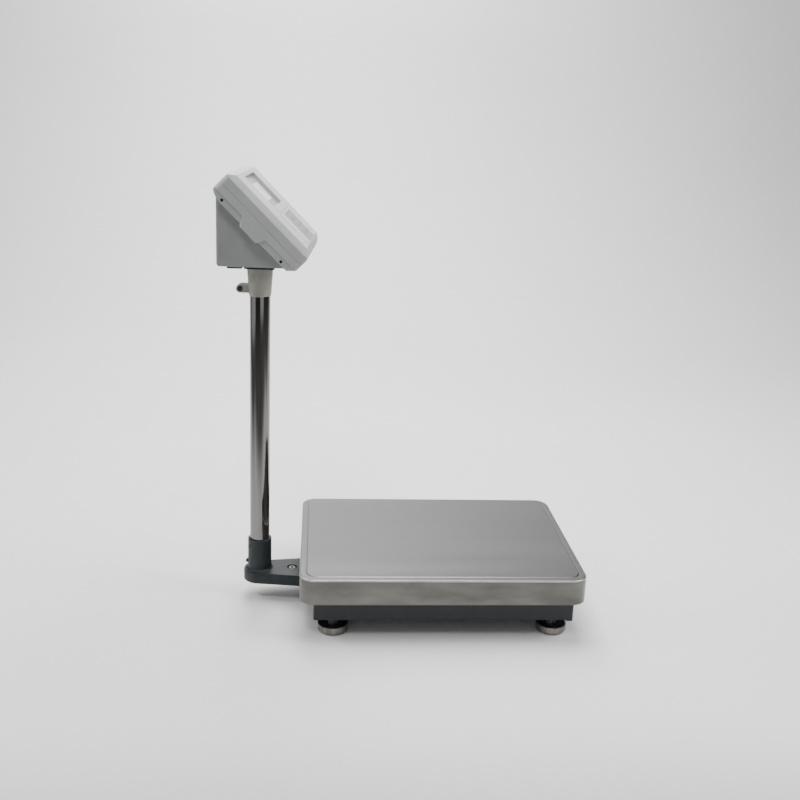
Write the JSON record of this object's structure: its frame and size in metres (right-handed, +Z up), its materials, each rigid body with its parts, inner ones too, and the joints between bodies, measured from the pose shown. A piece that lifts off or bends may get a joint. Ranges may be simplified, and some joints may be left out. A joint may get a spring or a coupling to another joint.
{
  "type": "platform shipping scale",
  "caption": "Low platform scale with a stainless pan on a load cell frame, levelling feet, and a sloped display head with keypad on a rear column.",
  "frame": {"origin": "on the floor, in the middle of the whole scale's width and depth", "axes": "+Z up, -Y towards the operator in front of the pan, +X to the operator's right"},
  "size_m": [0.39, 0.6846, 0.8316],
  "materials": {
    "stainless_pan": "brushed stainless sheet",
    "rubber": "matt",
    "black_paint": "semi-matt powder coat",
    "bracket_paint": "satin paint",
    "zinc_steel": "zinc plated",
    "cell_aluminium": "clear anodised",
    "black_screws": "black oxide",
    "bolt_steel": "plain",
    "level_black": "matt",
    "level_liquid": "clear",
    "chrome_tube": "polished",
    "cable_jacket": "satin",
    "collar_paint": "satin paint",
    "housing_plastic": "fine texture",
    "battery_case": "matt",
    "case_plastic": "fine texture",
    "clear_window": "clear",
    "display_cell": "grey liquid crystal",
    "board_green": "solder mask",
    "keypad_film": "satin film",
    "key_grey": "satin",
    "foot_metal": "worn paint"
  },
  "bodies": {
    "base": {"base_frame": "black_paint", "lower_spacer": "cell_aluminium", "lower_cell_bolts": "black_screws", "load_cell": "cell_aluminium", "stop_screws": "zinc_steel", "level_body": "level_black", "level_vial": "level_liquid", "lock_nuts": "zinc_steel", "column_bracket": "bracket_paint", "bracket_bolts": "bolt_steel", "socket_screws": "black_screws", "column_tube": "chrome_tube", "signal_cable": "cable_jacket"},
    "deck": {"deck_frame": "black_paint", "upper_spacer": "cell_aluminium", "upper_cell_bolts": "black_screws", "pan_pads": "rubber"},
    "pan": {"platform_pan": "stainless_pan"},
    "head": {"clamp_collar": "collar_paint", "collar_screw": "black_screws", "collar_nut": "zinc_steel", "ring_nut": "zinc_steel", "head_plate": "black_screws", "head_housing": "housing_plastic", "battery": "battery_case", "rear_case": "case_plastic", "front_case": "case_plastic", "case_screws": "black_screws", "display_window": "clear_window", "lcd_module": "display_cell", "main_board": "board_green", "keypad_panel": "keypad_film", "power_inlet": "level_black", "head_lead": "cable_jacket"},
    "battery_lid": {"battery_door": "housing_plastic"},
    "foot_1": {"foot_cup_1": "foot_metal", "foot_rubber_1": "rubber", "foot_stud_1": "zinc_steel"},
    "foot_2": {"foot_cup_2": "foot_metal", "foot_rubber_2": "rubber", "foot_stud_2": "zinc_steel"},
    "foot_3": {"foot_cup_3": "foot_metal", "foot_rubber_3": "rubber", "foot_stud_3": "zinc_steel"},
    "foot_4": {"foot_cup_4": "foot_metal", "foot_rubber_4": "rubber", "foot_stud_4": "zinc_steel"},
    "key_1": {"key_1": "key_grey"},
    "key_2": {"key_2": "key_grey"},
    "key_3": {"key_3": "key_grey"},
    "key_4": {"key_4": "key_grey"},
    "key_5": {"key_5": "key_grey"},
    "key_6": {"key_6": "key_grey"},
    "key_7": {"key_7": "key_grey"},
    "key_8": {"key_8": "key_grey"},
    "key_9": {"key_9": "key_grey"},
    "key_10": {"key_10": "key_grey"},
    "key_11": {"key_11": "key_grey"},
    "key_12": {"key_12": "key_grey"}
  },
  "joints": [
    {"name": "cell_deflection", "type": "slide", "parent": "base", "child": "deck", "axis": [0, 0, -1], "range_m": [0, 0.0005], "stiffness_N_per_m": 1200000, "springref_m": -0.00005, "deforming": ["load_cell"]},
    {"name": "pan_lift", "type": "slide", "parent": "deck", "child": "pan", "axis": [0, 0, 1], "range_m": [0, 0.12]},
    {"name": "head_swivel", "type": "hinge", "parent": "base", "child": "head", "pos_m": [0, 0.26867, 0.64], "axis": [0, 0, 1], "range_deg": [-45, 45]},
    {"name": "battery_door_hinge", "type": "hinge", "parent": "head", "child": "battery_lid", "pos_m": [0.00443, 0.32901, 0.67125], "axis": [0.9973, -0.0732, 0], "range_deg": [0, 100]},
    {"name": "foot_1_height", "type": "slide", "parent": "base", "child": "foot_1", "axis": [0, 0, -1], "range_m": [-0.003, 0.01]},
    {"name": "foot_2_height", "type": "slide", "parent": "base", "child": "foot_2", "axis": [0, 0, -1], "range_m": [-0.003, 0.01]},
    {"name": "foot_3_height", "type": "slide", "parent": "base", "child": "foot_3", "axis": [0, 0, -1], "range_m": [-0.003, 0.01]},
    {"name": "foot_4_height", "type": "slide", "parent": "base", "child": "foot_4", "axis": [0, 0, -1], "range_m": [-0.003, 0.01]},
    {"name": "key_1_press", "type": "slide", "parent": "head", "child": "key_1", "axis": [0.0518, 0.7052, -0.7071], "range_m": [0, 0.0008], "stiffness_N_per_m": 1500, "springref_m": -0.0004},
    {"name": "key_2_press", "type": "slide", "parent": "head", "child": "key_2", "axis": [0.0518, 0.7052, -0.7071], "range_m": [0, 0.0008], "stiffness_N_per_m": 1500, "springref_m": -0.0004},
    {"name": "key_3_press", "type": "slide", "parent": "head", "child": "key_3", "axis": [0.0518, 0.7052, -0.7071], "range_m": [0, 0.0008], "stiffness_N_per_m": 1500, "springref_m": -0.0004},
    {"name": "key_4_press", "type": "slide", "parent": "head", "child": "key_4", "axis": [0.0518, 0.7052, -0.7071], "range_m": [0, 0.0008], "stiffness_N_per_m": 1500, "springref_m": -0.0004},
    {"name": "key_5_press", "type": "slide", "parent": "head", "child": "key_5", "axis": [0.0518, 0.7052, -0.7071], "range_m": [0, 0.0008], "stiffness_N_per_m": 1500, "springref_m": -0.0004},
    {"name": "key_6_press", "type": "slide", "parent": "head", "child": "key_6", "axis": [0.0518, 0.7052, -0.7071], "range_m": [0, 0.0008], "stiffness_N_per_m": 1500, "springref_m": -0.0004},
    {"name": "key_7_press", "type": "slide", "parent": "head", "child": "key_7", "axis": [0.0518, 0.7052, -0.7071], "range_m": [0, 0.0008], "stiffness_N_per_m": 1500, "springref_m": -0.0004},
    {"name": "key_8_press", "type": "slide", "parent": "head", "child": "key_8", "axis": [0.0518, 0.7052, -0.7071], "range_m": [0, 0.0008], "stiffness_N_per_m": 1500, "springref_m": -0.0004},
    {"name": "key_9_press", "type": "slide", "parent": "head", "child": "key_9", "axis": [0.0518, 0.7052, -0.7071], "range_m": [0, 0.0008], "stiffness_N_per_m": 1500, "springref_m": -0.0004},
    {"name": "key_10_press", "type": "slide", "parent": "head", "child": "key_10", "axis": [0.0518, 0.7052, -0.7071], "range_m": [0, 0.0008], "stiffness_N_per_m": 1500, "springref_m": -0.0004},
    {"name": "key_11_press", "type": "slide", "parent": "head", "child": "key_11", "axis": [0.0518, 0.7052, -0.7071], "range_m": [0, 0.0008], "stiffness_N_per_m": 1500, "springref_m": -0.0004},
    {"name": "key_12_press", "type": "slide", "parent": "head", "child": "key_12", "axis": [0.0518, 0.7052, -0.7071], "range_m": [0, 0.0008], "stiffness_N_per_m": 1500, "springref_m": -0.0004}
  ]
}
